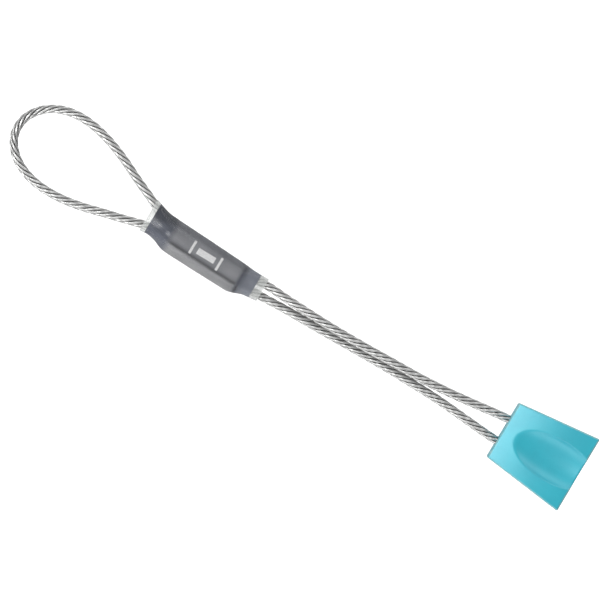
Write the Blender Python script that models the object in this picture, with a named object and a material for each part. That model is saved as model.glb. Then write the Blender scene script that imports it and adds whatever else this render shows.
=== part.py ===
"""Wired climbing nut (chock): a tapered aluminium head on a swaged loop of steel wire rope.

The nut lies on its back. +X runs along the stem from the clip-in loop to the wide end of
the head, +Y is to the left seen from the clip-in loop, and +Z is up. The origin is under
the middle of the whole nut, on the surface that it lies on.

One length of wire rope makes the whole stem. It starts half way through the ferrule, runs
out as the left leg, turns round the bridge inside the head, comes back as the right leg,
passes through the ferrule, makes the clip-in loop, and ends in the ferrule against its own
start. It is drawn in runs, one node for each stretch that moves as one rigid length.
"""
import math

import bmesh
import bpy
import numpy as np

# All sizes are in millimetres, and MM turns them into Blender's metres.
MM = 0.001
GAP = 0.3  # between neighbours that touch on the real nut

# Head
HEAD_NARROW_X = 85.75
HEAD_LENGTH = 30.3
HEAD_CENTRE_Y = -2.3
HEAD_HALF_WIDTHS = (11.05, 14.55)  # narrow end, wide end
HEAD_THICKNESSES = (15.0, 19.4)  # narrow end, wide end
FRONT_BULGE = 1.3  # how far the upper face bows out between its ends
BACK_HOLLOW = 1.3  # how far the lower face bows in between its ends
HEAD_EDGE_RADIUS = 0.6
HEAD_STATIONS = 10
CORNER_STEPS = 3

# Finger-shaped scoop in the upper face, cut by an ellipsoid that leans with the face
SCOOP_CENTRE = (106.0, HEAD_CENTRE_Y, 21.3)
SCOOP_SEMI_AXES = (21.0, 8.5, 5.2)
SCOOP_TILT = math.radians(5.0)
SCOOP_SEGMENTS = 40
SCOOP_RINGS = 20

# Wire rope
WIRE_RADIUS = 1.5
WIRE_STEP = 4.0  # between the points of a run
CROWN_RADIUS = 4.4  # of the wire's centre line round the bridge in the head
CROWN_X = 109.6  # where the legs end and the crown begins
CROWN_STEPS = 10
WIRE_HEIGHT_IN_HEAD = 8.6

# Wire holes through the head, and the groove that takes the crown
HOLE_RADIUS = 1.85
HOLE_FLARE = 1.05  # how much further a hole's mouth reaches towards the middle
HOLE_FLARE_LENGTH = 9.0
GROOVE_HALF_HEIGHT = 1.95
BRIDGE_RADIUS = CROWN_RADIUS - HOLE_RADIUS
HOLE_SIDES = 20

# Ferrule, on an axis that leans a little across the stem
FERRULE_ENDS_X = (-49.7, -20.3)
FERRULE_RADII = (5.45, 5.2)  # loop end, leg end
FERRULE_END_RADIUS = 2.0
FERRULE_CENTRE = (-35.0, -4.3, 6.2)
FERRULE_LEAN = -0.035  # change of Y for each millimetre of X
BORE_OFFSETS = (2.65, -1.15)  # left bore, right bore, from the ferrule's axis
BORE_RADIUS = 1.75

# Heat-shrink sleeve and the printed film under it
SLEEVE_WALL = 0.25
FILM_GAP = 0.15
FILM_WALL = 0.15
RING_SIDES = 20
SLEEVE_FINE_STEP = 1.0
SLEEVE_COARSE_STEP = 5.0
SLEEVE_ENDS_X = (-58.5, -11.5)
FILM_ENDS_X = (-57.5, -14.5)
SLEEVE_STRAIGHT_X = (-47.5, -22.5)
SLEEVE_SMOOTHING = 1.2  # either side of each place

# The sleeve's outside: X, middle Y, half width, half height, and how square the oval is
SLEEVE_SECTIONS = [
    (-59.5, -1.65, 6.4, 2.5, 2.5),
    (-56.3, -2.05, 5.75, 3.0, 2.4),
    (-52.8, -2.9, 5.6, 4.4, 2.2),
    (-50.3, -3.55, 6.1, 5.9, 2.0),
    (-48.3, -3.83, 6.25, 6.2, 2.0),
    (-35.0, -4.3, 6.15, 6.2, 2.0),
    (-22.3, -4.73, 5.95, 6.2, 2.0),
    (-19.8, -4.5, 5.5, 5.4, 2.0),
    (-17.3, -4.05, 4.85, 3.8, 2.2),
    (-14.3, -3.9, 4.65, 3.0, 2.4),
    (-10.5, -3.72, 4.4, 2.65, 2.5),
]

# Where the moving runs of wire meet the fixed ones
LOOP_BEND_X = (-70.0, -58.8)
STEM_BEND_X = (-11.2, 2.0, 16.0)

# The wire's route through the loop, from the left bore round to the right bore
LOOP_ROUTE = [
    (-35.5, -1.63, 6.2), (-44.3, -1.32, 6.2), (-49.8, -1.13, 6.2), (-53.3, -0.5, 6.2),
    (-56.3, 0.8, 6.2), (-58.8, 2.15, 6.1), (-61.7, 3.7, 6.0), (-65.0, 5.1, 5.9),
    (-69.5, 7.1, 5.7), (-75.8, 10.05, 5.5), (-81.8, 12.5, 5.2), (-88.1, 14.4, 5.0),
    (-94.5, 15.4, 4.7), (-101.0, 15.1, 4.5), (-107.2, 12.9, 4.3), (-111.7, 9.1, 4.1),
    (-114.0, 5.1, 4.0), (-114.6, 1.0, 4.0), (-113.9, -2.5, 4.0), (-112.2, -5.4, 4.1),
    (-109.2, -8.4, 4.2), (-105.2, -10.7, 4.3), (-98.9, -12.45, 4.5), (-92.3, -12.8, 4.8),
    (-85.9, -12.2, 5.0), (-79.9, -11.0, 5.3), (-73.7, -9.35, 5.6), (-67.0, -7.65, 5.8),
    (-63.1, -6.6, 5.95), (-58.8, -5.5, 6.1), (-55.3, -5.05, 6.2), (-52.3, -4.93, 6.2),
    (-49.8, -4.93, 6.2), (-44.3, -5.12, 6.2), (-35.2, -5.44, 6.2),
]

# The two legs, from the ferrule to the crown
LEFT_LEG_ROUTE = [
    (-34.9, -1.65, 6.2), (-26.0, -1.96, 6.2), (-21.0, -2.1, 6.2), (-16.3, -1.85, 6.2),
    (-11.2, -1.55, 6.3), (-2.1, -2.0, 6.9), (8.5, -2.35, 7.6), (19.0, -2.5, 8.2),
    (29.5, -2.35, 8.5), (40.0, -2.0, 8.6), (50.5, -1.7, 8.55), (58.9, -1.15, 8.5),
    (67.3, -0.3, 8.5), (75.7, 0.75, 8.55), (81.7, 1.55, 8.6), (85.8, 1.95, 8.6),
    (89.7, 2.1, 8.6), (96.0, 2.1, 8.6), (103.0, 2.1, 8.6), (CROWN_X, 2.1, 8.6),
]
RIGHT_LEG_ROUTE = [
    (-35.2, -5.44, 6.2), (-26.0, -5.76, 6.2), (-21.0, -5.92, 6.2), (-16.3, -5.9, 6.2),
    (-11.2, -5.85, 6.05), (-2.1, -5.45, 5.7), (8.5, -5.25, 5.7), (19.0, -5.05, 5.95),
    (29.5, -4.8, 6.3), (40.0, -4.65, 6.8), (50.5, -4.75, 7.3), (58.9, -4.9, 7.8),
    (67.3, -5.4, 8.2), (75.7, -6.05, 8.5), (81.7, -6.5, 8.6), (85.8, -6.65, 8.6),
    (89.7, -6.7, 8.6), (96.0, -6.7, 8.6), (103.0, -6.7, 8.6), (CROWN_X, -6.7, 8.6),
]

TURN = 2.0 * math.pi
CURVE_SAMPLES = 24  # between two of a route's own points
FINE_STEP = 0.25  # between the points of a smooth curve


# ---------------------------------------------------------------- general helpers

def clear_scene():
    for thing in list(bpy.data.objects):
        bpy.data.objects.remove(thing, do_unlink=True)


def make_material(name, colour, metallic, roughness, alpha=1.0):
    material = bpy.data.materials.new(name)
    material.use_nodes = True
    shader = material.node_tree.nodes["Principled BSDF"]
    shader.inputs["Base Color"].default_value = (*colour, 1.0)
    shader.inputs["Metallic"].default_value = metallic
    shader.inputs["Roughness"].default_value = roughness
    shader.inputs["Alpha"].default_value = alpha
    return material


def add_object(name, data, material=None):
    thing = bpy.data.objects.new(name, data)
    bpy.context.scene.collection.objects.link(thing)
    if material is not None:
        data.materials.append(material)
    return thing


def mesh_from_rings(name, rings, closed_ends=True):
    """A mesh skinned over rings of points, given in millimetres from end to end.

    With closed_ends each end ring is filled. Without, the last ring joins the first, as
    on a tube whose wall has an inside.
    """
    shape = bmesh.new()
    loops = [[shape.verts.new([v * MM for v in point]) for point in ring] for ring in rings]
    pairs = list(zip(loops, loops[1:]))
    if closed_ends:
        shape.faces.new(loops[0])
        shape.faces.new(loops[-1])
    else:
        pairs.append((loops[-1], loops[0]))
    for near, far in pairs:
        for i in range(len(near)):
            j = (i + 1) % len(near)
            shape.faces.new((near[i], near[j], far[j], far[i]))
    bmesh.ops.recalc_face_normals(shape, faces=shape.faces)
    mesh = bpy.data.meshes.new(name)
    shape.to_mesh(mesh)
    shape.free()
    mesh.shade_smooth()
    mesh.set_sharp_from_angle(angle=math.radians(30))
    return mesh


def subtract(target, cutter):
    """Cuts one object out of another, and hides the cutter."""
    cutter.hide_render = True
    cutter.display_type = 'WIRE'
    cut = target.modifiers.new("cut_" + cutter.name, 'BOOLEAN')
    cut.operation = 'DIFFERENCE'
    cut.solver = 'EXACT'
    cut.object = cutter


def evenly_spaced(points, step):
    """Points about `step` apart along a line of close points."""
    lengths = np.concatenate([[0.0], np.cumsum(np.linalg.norm(np.diff(points, axis=0), axis=1))])
    count = max(2, round(lengths[-1] / step) + 1)
    stations = np.linspace(0.0, lengths[-1], count)
    return np.stack([np.interp(stations, lengths, column) for column in points.T], axis=1)


def smooth_route(points):
    """Close points on a smooth curve through a route's own points."""
    knots = np.array(points, dtype=float)
    gaps = np.linalg.norm(np.diff(knots, axis=0), axis=1)
    places = np.concatenate([[0.0], np.cumsum(gaps)])
    tangents = np.gradient(knots, places, axis=0)
    u = np.linspace(0.0, 1.0, CURVE_SAMPLES, endpoint=False)[:, None]
    pieces = []
    for i, gap in enumerate(gaps):
        pieces.append(
            (2 * u**3 - 3 * u**2 + 1) * knots[i]
            + (u**3 - 2 * u**2 + u) * gap * tangents[i]
            + (3 * u**2 - 2 * u**3) * knots[i + 1]
            + (u**3 - u**2) * gap * tangents[i + 1]
        )
    return evenly_spaced(np.vstack(pieces + [knots[-1:]]), FINE_STEP)


# ---------------------------------------------------------------- wire rope

def between(route, low_x, high_x):
    """The stretch of a route between two values of X, in the route's own order."""
    fine = smooth_route(route)
    inside = fine[(fine[:, 0] >= low_x) & (fine[:, 0] <= high_x)]
    return evenly_spaced(inside, WIRE_STEP)


def halves_of_loop():
    """The loop's route as its left half and its right half, each ending at the tip."""
    tip = min(range(len(LOOP_ROUTE)), key=lambda i: LOOP_ROUTE[i][0])
    return LOOP_ROUTE[:tip + 1], LOOP_ROUTE[tip:]


def crown_points():
    """The half turn of the wire round the bridge in the head."""
    points = []
    for i in range(CROWN_STEPS + 1):
        angle = math.pi * (0.5 - i / CROWN_STEPS)
        points.append((CROWN_X + CROWN_RADIUS * math.cos(angle),
                       HEAD_CENTRE_Y + CROWN_RADIUS * math.sin(angle),
                       WIRE_HEIGHT_IN_HEAD))
    return points


def make_wire(name, points, material):
    """One run of the wire rope, as a round bar with filled ends."""
    curve = bpy.data.curves.new(name, 'CURVE')
    curve.dimensions = '3D'
    curve.bevel_depth = WIRE_RADIUS * MM
    curve.bevel_resolution = 2
    curve.use_fill_caps = True
    spline = curve.splines.new('POLY')
    spline.points.add(len(points) - 1)
    for spot, point in zip(spline.points, points):
        spot.co = (*(v * MM for v in point), 1.0)
    return add_object(name, curve, material)


def make_wire_runs(material):
    half_gap = GAP / 2
    sleeve_loop_end = LOOP_BEND_X[1] + half_gap
    sleeve_leg_end = STEM_BEND_X[0] - half_gap

    make_wire("wire_end_loop_side",
              between(halves_of_loop()[0], sleeve_loop_end, FERRULE_CENTRE[0] - 0.5), material)
    make_wire("wire_end_leg_side",
              between(LEFT_LEG_ROUTE, FERRULE_CENTRE[0] + 0.1, sleeve_leg_end), material)
    through = [p for p in LOOP_ROUTE[len(LOOP_ROUTE) // 2:] if p[0] > LOOP_BEND_X[0]]
    make_wire("wire_through_run",
              between(through[:-1] + RIGHT_LEG_ROUTE[:7], sleeve_loop_end, sleeve_leg_end), material)

    bend_low, bend_high = LOOP_BEND_X
    for side, half in zip(("left", "right"), halves_of_loop()):
        make_wire(f"loop_{side}_bend", between(half, bend_low + half_gap, bend_high - half_gap),
                  material)
    make_wire("clip_loop", between(LOOP_ROUTE, -math.inf, bend_low - half_gap), material)

    for side, route in (("left", LEFT_LEG_ROUTE), ("right", RIGHT_LEG_ROUTE)):
        for number, (low, high) in enumerate(zip(STEM_BEND_X, STEM_BEND_X[1:]), 1):
            make_wire(f"leg_{side}_bend_{number}", between(route, low + half_gap, high - half_gap),
                      material)
        make_wire(f"leg_{side}", between(route, STEM_BEND_X[-1] + half_gap, CROWN_X - half_gap),
                  material)
    make_wire("wire_crown", crown_points(), material)


# ---------------------------------------------------------------- head

def head_half_width(u):
    narrow, wide = HEAD_HALF_WIDTHS
    return narrow + (wide - narrow) * u


def head_front(u):
    narrow, wide = HEAD_THICKNESSES
    return narrow + (wide - narrow) * u + 4 * FRONT_BULGE * u * (1 - u)


def head_back(u):
    return 4 * BACK_HOLLOW * u * (1 - u)


def head_ring(x, inset):
    """The head's outline across X, with rounded corners, drawn in by `inset`."""
    u = (x - HEAD_NARROW_X) / HEAD_LENGTH
    half = head_half_width(u) - inset
    top = head_front(u) - inset
    bottom = head_back(u) + inset
    radius = HEAD_EDGE_RADIUS * (1.0 if inset < HEAD_EDGE_RADIUS / 2 else 0.5)
    corners = (
        (half - radius, top - radius, 0.0),
        (-half + radius, top - radius, 90.0),
        (-half + radius, bottom + radius, 180.0),
        (half - radius, bottom + radius, 270.0),
    )
    ring = []
    for y, z, start in corners:
        for i in range(CORNER_STEPS + 1):
            angle = math.radians(start + 90.0 * i / CORNER_STEPS)
            ring.append((x, HEAD_CENTRE_Y + y + radius * math.cos(angle), z + radius * math.sin(angle)))
    return ring


def make_head_blank(material):
    """The wedge before it is drilled, with all its edges rounded."""
    r = HEAD_EDGE_RADIUS
    start, end = HEAD_NARROW_X, HEAD_NARROW_X + HEAD_LENGTH
    roundings = [(r * (1 - math.cos(a)), r * (1 - math.sin(a))) for a in (0.0, math.pi / 4)]
    rings = [head_ring(start + along, inset) for along, inset in roundings]
    rings += [head_ring(x, 0.0) for x in np.linspace(start + r, end - r, HEAD_STATIONS)]
    rings += [head_ring(end - along, inset) for along, inset in reversed(roundings)]
    return add_object("chock_head", mesh_from_rings("chock_head", rings), material)


def scoop_cutter():
    """The ellipsoid that leaves the finger-shaped scoop."""
    shape = bmesh.new()
    bmesh.ops.create_uvsphere(shape, u_segments=SCOOP_SEGMENTS, v_segments=SCOOP_RINGS, radius=1.0)
    mesh = bpy.data.meshes.new("scoop_cutter")
    shape.to_mesh(mesh)
    shape.free()
    mesh.shade_smooth()
    cutter = add_object("scoop_cutter", mesh)
    cutter.scale = [a * MM for a in SCOOP_SEMI_AXES]
    cutter.rotation_euler = (0.0, -SCOOP_TILT, 0.0)
    cutter.location = [v * MM for v in SCOOP_CENTRE]
    return cutter


def hole_cutter(name, hole_y, inwards):
    """One wire hole, whose mouth in the narrow end is drawn out towards the middle."""
    start = HEAD_NARROW_X
    rings = []
    for depth in (-1.0, 0.0, HOLE_FLARE_LENGTH / 2, HOLE_FLARE_LENGTH, CROWN_X - start + 0.5):
        flare = HOLE_FLARE * max(0.0, 1 - max(depth, 0.0) / HOLE_FLARE_LENGTH)
        rings.append([
            (start + depth,
             hole_y + inwards * flare / 2 + (HOLE_RADIUS + flare / 2) * math.cos(TURN * i / HOLE_SIDES),
             WIRE_HEIGHT_IN_HEAD + HOLE_RADIUS * math.sin(TURN * i / HOLE_SIDES))
            for i in range(HOLE_SIDES)])
    return add_object(name, mesh_from_rings(name, rings))


def groove_cutter():
    """The groove for the crown in the wide end, round the bridge that the wire turns on."""
    end = HEAD_NARROW_X + HEAD_LENGTH + 1.0
    outer = CROWN_RADIUS + HOLE_RADIUS
    outline = [(end, HEAD_CENTRE_Y - outer), (end, HEAD_CENTRE_Y + outer),
               (CROWN_X, HEAD_CENTRE_Y + outer), (CROWN_X, HEAD_CENTRE_Y + BRIDGE_RADIUS)]
    for i in range(1, CROWN_STEPS):
        angle = math.pi * (0.5 - i / CROWN_STEPS)
        outline.append((CROWN_X + BRIDGE_RADIUS * math.cos(angle),
                        HEAD_CENTRE_Y + BRIDGE_RADIUS * math.sin(angle)))
    outline += [(CROWN_X, HEAD_CENTRE_Y - BRIDGE_RADIUS), (CROWN_X, HEAD_CENTRE_Y - outer)]
    rings = [[(x, y, WIRE_HEIGHT_IN_HEAD + side * GROOVE_HALF_HEIGHT) for x, y in outline]
             for side in (-1, 1)]
    return add_object("groove_cutter", mesh_from_rings("groove_cutter", rings))


def make_head(material):
    head = make_head_blank(material)
    subtract(head, scoop_cutter())
    subtract(head, hole_cutter("left_hole_cutter", HEAD_CENTRE_Y + CROWN_RADIUS, -1))
    subtract(head, hole_cutter("right_hole_cutter", HEAD_CENTRE_Y - CROWN_RADIUS, 1))
    subtract(head, groove_cutter())


# ---------------------------------------------------------------- ferrule, film and sleeve

def ferrule_axis_y(x):
    return FERRULE_CENTRE[1] + FERRULE_LEAN * (x - FERRULE_CENTRE[0])


def round_ring(x, centre_y, radius, sides):
    return [(x, centre_y + radius * math.cos(TURN * i / sides),
             FERRULE_CENTRE[2] + radius * math.sin(TURN * i / sides)) for i in range(sides)]


def make_ferrule(material):
    """The swaged sleeve that grips the wire, with its two bores side by side."""
    start, end = FERRULE_ENDS_X
    fillet = FERRULE_END_RADIUS
    steps = [math.radians(a) for a in (0, 22.5, 45, 67.5, 90)]
    rings = []
    for a in steps:
        x = start + fillet * (1 - math.cos(a))
        rings.append(round_ring(x, ferrule_axis_y(x), FERRULE_RADII[0] - fillet * (1 - math.sin(a)),
                                RING_SIDES))
    for a in reversed(steps):
        x = end - fillet * (1 - math.cos(a))
        rings.append(round_ring(x, ferrule_axis_y(x), FERRULE_RADII[1] - fillet * (1 - math.sin(a)),
                                RING_SIDES))
    ferrule = add_object("swage_ferrule", mesh_from_rings("swage_ferrule", rings), material)
    for name, offset in zip(("left_bore_cutter", "right_bore_cutter"), BORE_OFFSETS):
        bore = [round_ring(x, ferrule_axis_y(x) + offset, BORE_RADIUS, HOLE_SIDES)
                for x in (start - 1.0, end + 1.0)]
        subtract(ferrule, add_object(name, mesh_from_rings(name, bore)))


def sleeve_stations(ends):
    """Values of X along the sleeve, close together where it follows the ferrule's ends."""
    low, high = SLEEVE_STRAIGHT_X
    fine_low = np.arange(ends[0], low, SLEEVE_FINE_STEP)
    straight = np.arange(low, high, SLEEVE_COARSE_STEP)
    fine_high = np.arange(high, ends[1] + SLEEVE_FINE_STEP / 2, SLEEVE_FINE_STEP)
    return np.concatenate([fine_low, straight, fine_high])


def sleeve_section(x):
    """The sleeve's outside at X, with the corners of SLEEVE_SECTIONS smoothed away."""
    listed = np.array(SLEEVE_SECTIONS)
    near = x + np.linspace(-SLEEVE_SMOOTHING, SLEEVE_SMOOTHING, CURVE_SAMPLES)
    return [x] + [float(np.mean(np.interp(near, listed[:, 0], column))) for column in listed.T[1:]]


def oval_ring(x, draw_in):
    """One ring of the sleeve, drawn in from its outside by `draw_in`."""
    x, middle, half_width, half_height, squareness = sleeve_section(x)
    ring = []
    for i in range(RING_SIDES):
        c, s = math.cos(TURN * i / RING_SIDES), math.sin(TURN * i / RING_SIDES)
        across = math.copysign(abs(c) ** (2 / squareness), c) * (half_width - draw_in)
        up = math.copysign(abs(s) ** (2 / squareness), s) * (half_height - draw_in)
        ring.append((x, middle + across, FERRULE_CENTRE[2] + up))
    return ring


def make_sleeve(name, ends, outer_inset, wall, material):
    """A thin tube, shrunk to the shape of what is inside it and open at both ends."""
    stations = sleeve_stations(ends)
    outside = [oval_ring(x, outer_inset) for x in stations]
    inside = [oval_ring(x, outer_inset + wall) for x in reversed(stations)]
    mesh = mesh_from_rings(name, outside + inside, closed_ends=False)
    return add_object(name, mesh, material)


# ---------------------------------------------------------------- the whole nut

def main():
    clear_scene()
    anodised = make_material("anodised_turquoise", (0.07, 0.52, 0.62), 0.6, 0.35)
    steel = make_material("galvanised_wire", (0.55, 0.55, 0.53), 1.0, 0.35)
    swage = make_material("swaged_aluminium", (0.52, 0.53, 0.54), 1.0, 0.3)
    smoky = make_material("smoky_film", (0.12, 0.13, 0.16), 0.0, 0.3, 0.75)
    clear = make_material("clear_heat_shrink", (0.8, 0.82, 0.82), 0.0, 0.2, 0.35)

    make_head(anodised)
    make_wire_runs(steel)
    make_ferrule(swage)
    make_sleeve("heat_shrink_sleeve", SLEEVE_ENDS_X, 0.0, SLEEVE_WALL, clear)
    make_sleeve("label_film", FILM_ENDS_X, SLEEVE_WALL + FILM_GAP, FILM_WALL, smoky)


main()
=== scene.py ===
"""Looks of the wired climbing nut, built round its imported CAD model.

Lengths are in millimetres unless a comment says otherwise, and MM turns them into metres.
+X runs from the clip-in loop to the wide end of the head, and +Z is up.
"""

import math

import bmesh
import bpy
import numpy as np
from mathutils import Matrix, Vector


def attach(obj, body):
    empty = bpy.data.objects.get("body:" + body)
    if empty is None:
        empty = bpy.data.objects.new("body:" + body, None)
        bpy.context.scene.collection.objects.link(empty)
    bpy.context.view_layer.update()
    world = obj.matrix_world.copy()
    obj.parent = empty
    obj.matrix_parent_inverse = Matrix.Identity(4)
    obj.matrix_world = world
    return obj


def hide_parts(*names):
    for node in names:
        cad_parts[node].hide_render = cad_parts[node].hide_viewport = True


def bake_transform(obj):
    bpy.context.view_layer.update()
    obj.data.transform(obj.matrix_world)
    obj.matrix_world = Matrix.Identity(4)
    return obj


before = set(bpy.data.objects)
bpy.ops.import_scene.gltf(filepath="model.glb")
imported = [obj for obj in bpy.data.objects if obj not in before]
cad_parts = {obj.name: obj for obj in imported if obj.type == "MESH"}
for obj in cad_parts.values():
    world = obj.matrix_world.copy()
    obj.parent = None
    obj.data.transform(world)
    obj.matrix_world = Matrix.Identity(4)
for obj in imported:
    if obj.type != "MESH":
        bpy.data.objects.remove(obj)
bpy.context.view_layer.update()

MM = 0.001
TURN = 2.0 * math.pi

# ---------------------------------------------------------------- shared with the CAD source

HEAD_NARROW_X = 85.75
HEAD_LENGTH = 30.3
HEAD_CENTRE_Y = -2.3
HEAD_HALF_WIDTHS = (11.05, 14.55)
HEAD_THICKNESSES = (15.0, 19.4)
FRONT_BULGE = 1.3
BACK_HOLLOW = 1.3
HEAD_EDGE_RADIUS = 0.6
SCOOP_CENTRE = (106.0, HEAD_CENTRE_Y, 21.3)
SCOOP_SEMI_AXES = (21.0, 8.5, 5.2)
SCOOP_TILT = math.radians(5.0)

WIRE_RADIUS = 1.5
CROWN_RADIUS = 4.4
CROWN_X = 109.6
WIRE_HEIGHT_IN_HEAD = 8.6
HOLE_RADIUS = 1.85
HOLE_FLARE = 1.05
HOLE_FLARE_LENGTH = 9.0
GROOVE_HALF_HEIGHT = 1.95
BRIDGE_RADIUS = CROWN_RADIUS - HOLE_RADIUS

FERRULE_ENDS_X = (-49.7, -20.3)
FERRULE_RADII = (5.45, 5.2)
FERRULE_END_RADIUS = 2.0
FERRULE_CENTRE = (-35.0, -4.3, 6.2)
FERRULE_LEAN = -0.035
BORE_OFFSETS = (2.65, -1.15)
BORE_RADIUS = 1.75

SLEEVE_ENDS_X = (-58.5, -11.5)
FILM_ENDS_X = (-57.5, -14.5)
SLEEVE_SMOOTHING = 1.2
SLEEVE_SECTIONS = [
    (-59.5, -1.65, 6.4, 2.5, 2.5),
    (-56.3, -2.05, 5.75, 3.0, 2.4),
    (-52.8, -2.9, 5.6, 4.4, 2.2),
    (-50.3, -3.55, 6.1, 5.9, 2.0),
    (-48.3, -3.83, 6.25, 6.2, 2.0),
    (-35.0, -4.3, 6.15, 6.2, 2.0),
    (-22.3, -4.73, 5.95, 6.2, 2.0),
    (-19.8, -4.5, 5.5, 5.4, 2.0),
    (-17.3, -4.05, 4.85, 3.8, 2.2),
    (-14.3, -3.9, 4.65, 3.0, 2.4),
    (-10.5, -3.72, 4.4, 2.65, 2.5),
]

STEM_BEND_X = (-11.2, 2.0, 16.0)

LOOP_ROUTE = [
    (-35.5, -1.63, 6.2), (-44.3, -1.32, 6.2), (-49.8, -1.13, 6.2), (-53.3, -0.5, 6.2),
    (-56.3, 0.8, 6.2), (-58.8, 2.15, 6.1), (-61.7, 3.7, 6.0), (-65.0, 5.1, 5.9),
    (-69.5, 7.1, 5.7), (-75.8, 10.05, 5.5), (-81.8, 12.5, 5.2), (-88.1, 14.4, 5.0),
    (-94.5, 15.4, 4.7), (-101.0, 15.1, 4.5), (-107.2, 12.9, 4.3), (-111.7, 9.1, 4.1),
    (-114.0, 5.1, 4.0), (-114.6, 1.0, 4.0), (-113.9, -2.5, 4.0), (-112.2, -5.4, 4.1),
    (-109.2, -8.4, 4.2), (-105.2, -10.7, 4.3), (-98.9, -12.45, 4.5), (-92.3, -12.8, 4.8),
    (-85.9, -12.2, 5.0), (-79.9, -11.0, 5.3), (-73.7, -9.35, 5.6), (-67.0, -7.65, 5.8),
    (-63.1, -6.6, 5.95), (-58.8, -5.5, 6.1), (-55.3, -5.05, 6.2), (-52.3, -4.93, 6.2),
    (-49.8, -4.93, 6.2), (-44.3, -5.12, 6.2), (-35.2, -5.44, 6.2),
]
LEFT_LEG_ROUTE = [
    (-34.9, -1.65, 6.2), (-26.0, -1.96, 6.2), (-21.0, -2.1, 6.2), (-16.3, -1.85, 6.2),
    (-11.2, -1.55, 6.3), (-2.1, -2.0, 6.9), (8.5, -2.35, 7.6), (19.0, -2.5, 8.2),
    (29.5, -2.35, 8.5), (40.0, -2.0, 8.6), (50.5, -1.7, 8.55), (58.9, -1.15, 8.5),
    (67.3, -0.3, 8.5), (75.7, 0.75, 8.55), (81.7, 1.55, 8.6), (85.8, 1.95, 8.6),
    (89.7, 2.1, 8.6), (96.0, 2.1, 8.6), (103.0, 2.1, 8.6), (CROWN_X, 2.1, 8.6),
]
RIGHT_LEG_ROUTE = [
    (-35.2, -5.44, 6.2), (-26.0, -5.76, 6.2), (-21.0, -5.92, 6.2), (-16.3, -5.9, 6.2),
    (-11.2, -5.85, 6.05), (-2.1, -5.45, 5.7), (8.5, -5.25, 5.7), (19.0, -5.05, 5.95),
    (29.5, -4.8, 6.3), (40.0, -4.65, 6.8), (50.5, -4.75, 7.3), (58.9, -4.9, 7.8),
    (67.3, -5.4, 8.2), (75.7, -6.05, 8.5), (81.7, -6.5, 8.6), (85.8, -6.65, 8.6),
    (89.7, -6.7, 8.6), (96.0, -6.7, 8.6), (103.0, -6.7, 8.6), (CROWN_X, -6.7, 8.6),
]

# ---------------------------------------------------------------- detail that only looks need

ROPE_STEP = 0.37  # between the rings along the wire rope
ROPE_LAY = 20.0  # length of one left-hand turn of the six outer strands
STRANDS = 6
ROPE_RADIUS = WIRE_RADIUS + 0.06  # over the crests of the outer wires
STRAND_RADIUS = 0.324 * ROPE_RADIUS
STRAND_CIRCLE = ROPE_RADIUS - STRAND_RADIUS
WIRES = 6  # round the king wire of each strand
WIRE_LAY = 11.0  # length of one right-hand turn of the wires in a strand
WIRE_PROFILE_STEPS = 4  # points across each wire
WIRE_RELIEF = 0.45  # 1 for round wires, less for wires that were compacted in the strand
WIRE_START_STEP = 0.37  # of a turn, from one strand's wires to the next strand's
CREST_SHARE = 0.35  # how much of height_on_rope comes from the wires, and not from the strands
ROPE_SHARP_ANGLE = 80.0  # in degrees
CORE_RADIUS = 0.5
CORE_SIDES = 12
ROPE_END_DEPTH = 3.0  # how far inside the ferrule the rope's pieces end

HEAD_GRID = 0.2  # between the points of the head's upper face
LIP_BLEND = 0.4  # how softly the scoop meets the face
EDGE_STEPS = 6
LEAST_EDGE = 0.35  # of the edge radius, at the corners of the head
SIDE_POINTS = 20  # up each side of the head
BACK_POINTS = 30  # across its lower face
WEAR_REACH = 1.3  # in edge radii, of the wear from each edge
SHARP_ANGLE = 35.0  # in degrees, between faces with a crease
CUT_PAST = 1.0  # how far a cutter runs past what it cuts

CROWN_STEPS = 16
HOLE_SIDES = 48
HOLE_MOUTH_RADIUS = 0.9
HOLE_MOUTH_STEPS = 6
HOLE_RIM_SHARE = 0.6  # of the mouth's radius, by which a hole opens at its rim
HOLE_FLARE_STEPS = 5
FERRULE_SIDES = 120
FERRULE_RINGS = 28  # between its rounded ends
FERRULE_END_STEPS = 8
FLASH_TURN = math.radians(122.0)  # from +Y, of the upper raised line left by the press
FLASH_HEIGHT = 0.22
FLASH_SPREAD = 0.07  # in radians
TUBE_SIDES = 84
TUBE_WALL = 0.08
TUBE_SHARP_ANGLE = 50.0  # in degrees
TUBE_ENDS_X = (SLEEVE_ENDS_X[0] - 0.9, SLEEVE_ENDS_X[1])  # it stands out further at the loop
SECTION_SAMPLES = 24  # that are averaged for each section of the sleeve
CALM_HALF_LENGTH = 13.5  # of the sleeve's middle, where it lies flat on the ferrule
FOLD_RISE = 6.0  # from there to where its folds are deepest
FOLD_DEPTH = 0.09
WAVE_DEPTH = 0.05
FILM_INSET = 0.12  # from the outside of the clear tube to the film
FILM_WALL = 0.06
DARK_STREAK_TURN = math.radians(111.0)  # where the painted dark streak runs along the film, from +Y
DARK_STREAK_SOFTNESS = 0.12  # in radians
FILM_FADE = (2.5, 1.2)  # in from the ferrule's loop end and leg end, where the film lies flat
LEG_END_FADE = 2.0  # out from the ferrule's leg end
END_SHADOW = (0.2, 0.45)  # past the ferrule's leg end, and its softness
# Painted light and shade round the sleeve: radians from +Y, and 0 where the film is painted
# # darkest, on its +Y side, to 1 where it is painted lightest, on its -Y side
FILM_PAINTED_LIGHT = [(0.0, 0.1), (0.8, 0.15), (1.2, 0.5), (1.5, 0.68), (1.8, 0.5), (2.1, 1.0),
                 (4.0, 1.0), (4.3, 0.2), (TURN, 0.1)]
TUBE_STEP = 0.45

# Printed bars on the film: middle and size, each along and across the sleeve
MARK_BARS = [((-34.6, -3.6), (7.0, 2.3)), ((-40.2, -3.4), (0.9, 5.0)), ((-29.2, -3.8), (0.9, 5.0))]
MILKINESS = (0.01, 0.26)  # of the clear tube, over the film and past its ends
MILK_SOFTNESS = 0.2


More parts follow.
